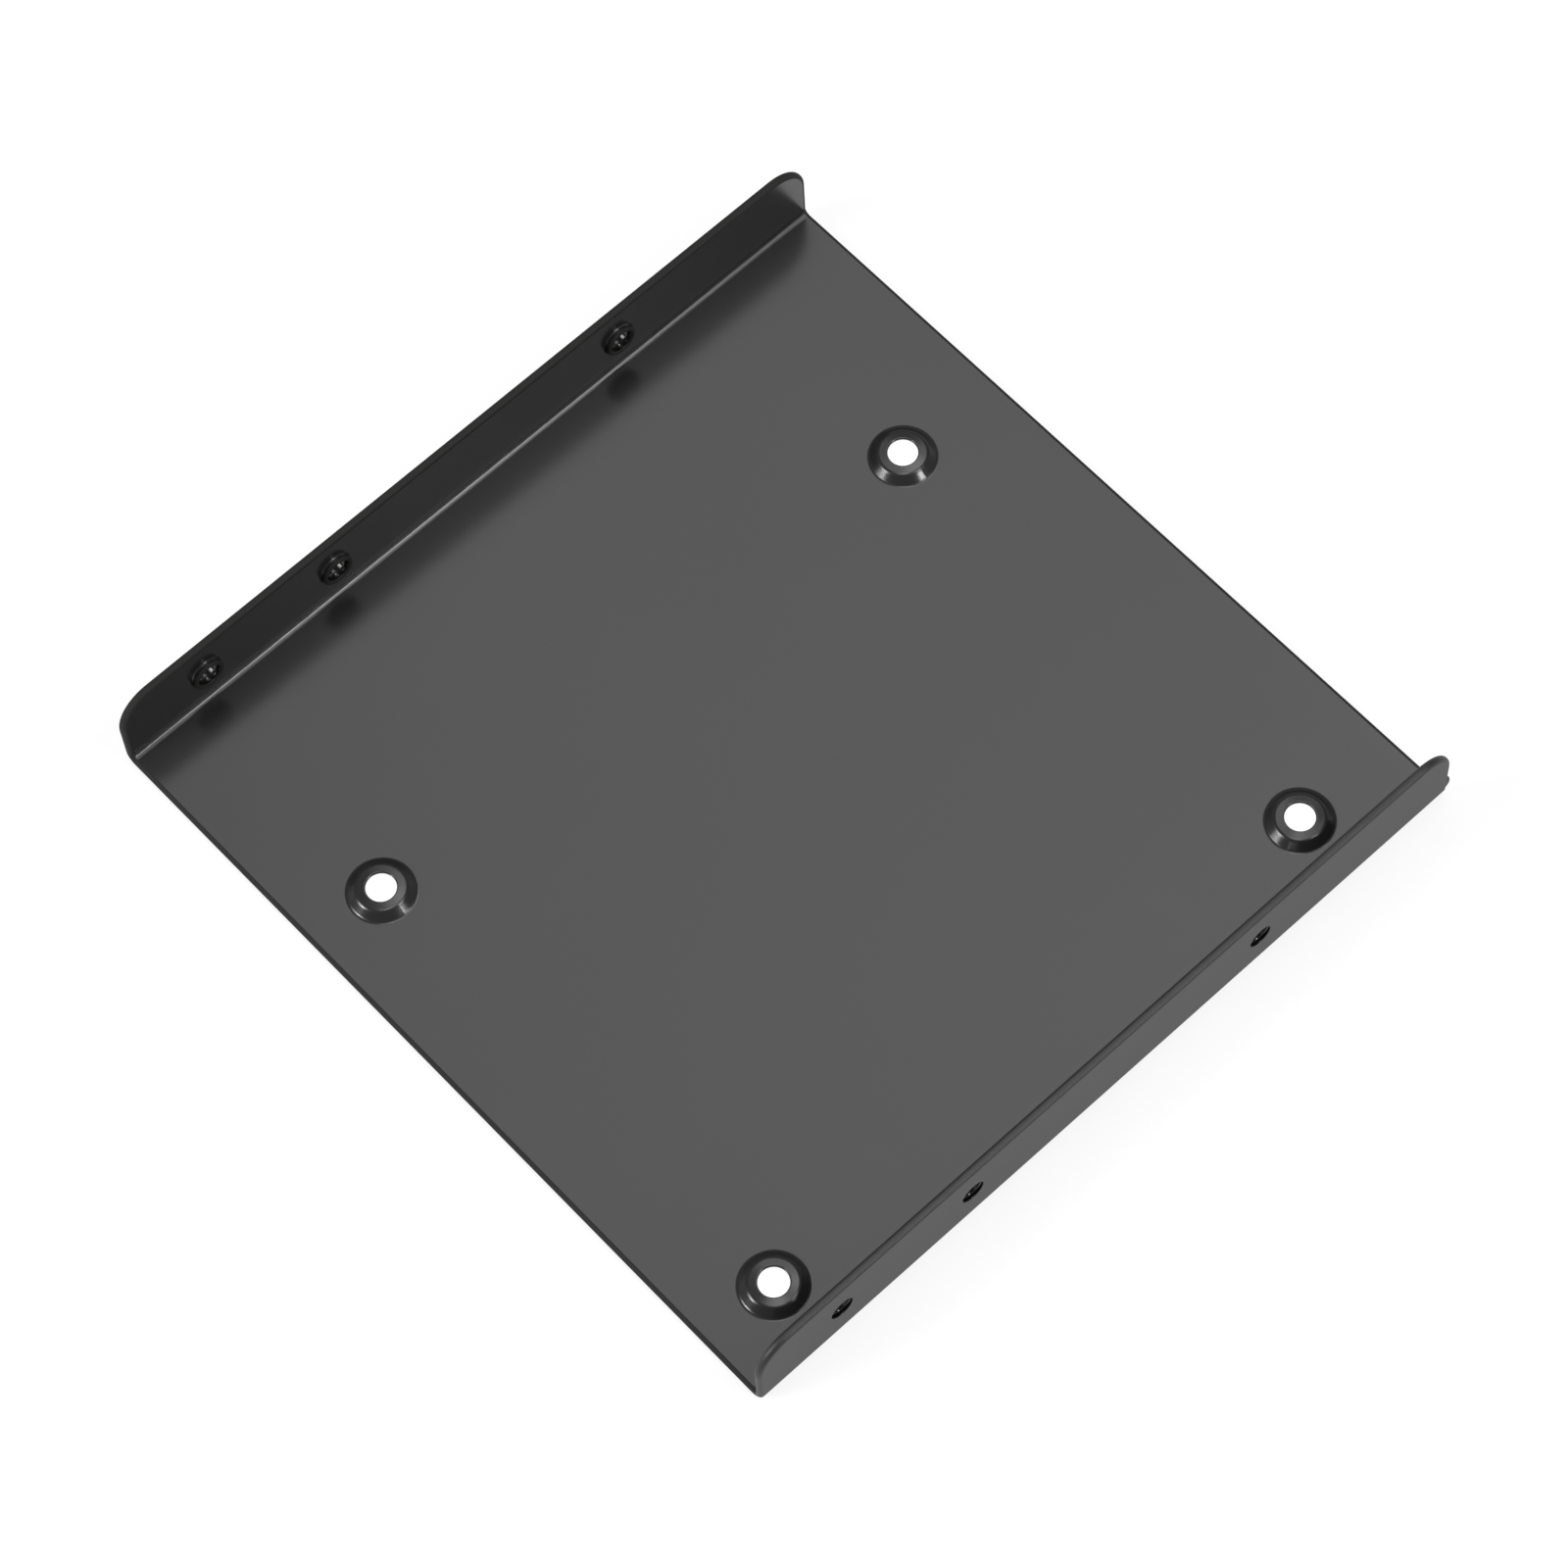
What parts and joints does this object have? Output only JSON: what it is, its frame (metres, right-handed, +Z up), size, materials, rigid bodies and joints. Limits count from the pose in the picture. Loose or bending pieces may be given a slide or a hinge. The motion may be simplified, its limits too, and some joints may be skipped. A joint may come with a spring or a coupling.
{
  "type": "drive bay adapter bracket",
  "caption": "Shallow folded sheet-steel tray with raised screw bosses and tapped flanges, for mounting a small drive in a larger drive bay.",
  "frame": {"origin": "centre of the footprint, on the underside of the floor", "axes": "+X across the tray towards the flange that the bosses lie nearer, +Y along the flanges towards the end further from the side holes, +Z up out of the tray"},
  "size_m": [0.1016, 0.1004, 0.0114],
  "materials": {
    "body_paint": "satin black powder coat"
  },
  "bodies": {
    "root": {"bracket": "body_paint"}
  },
  "joints": []
}
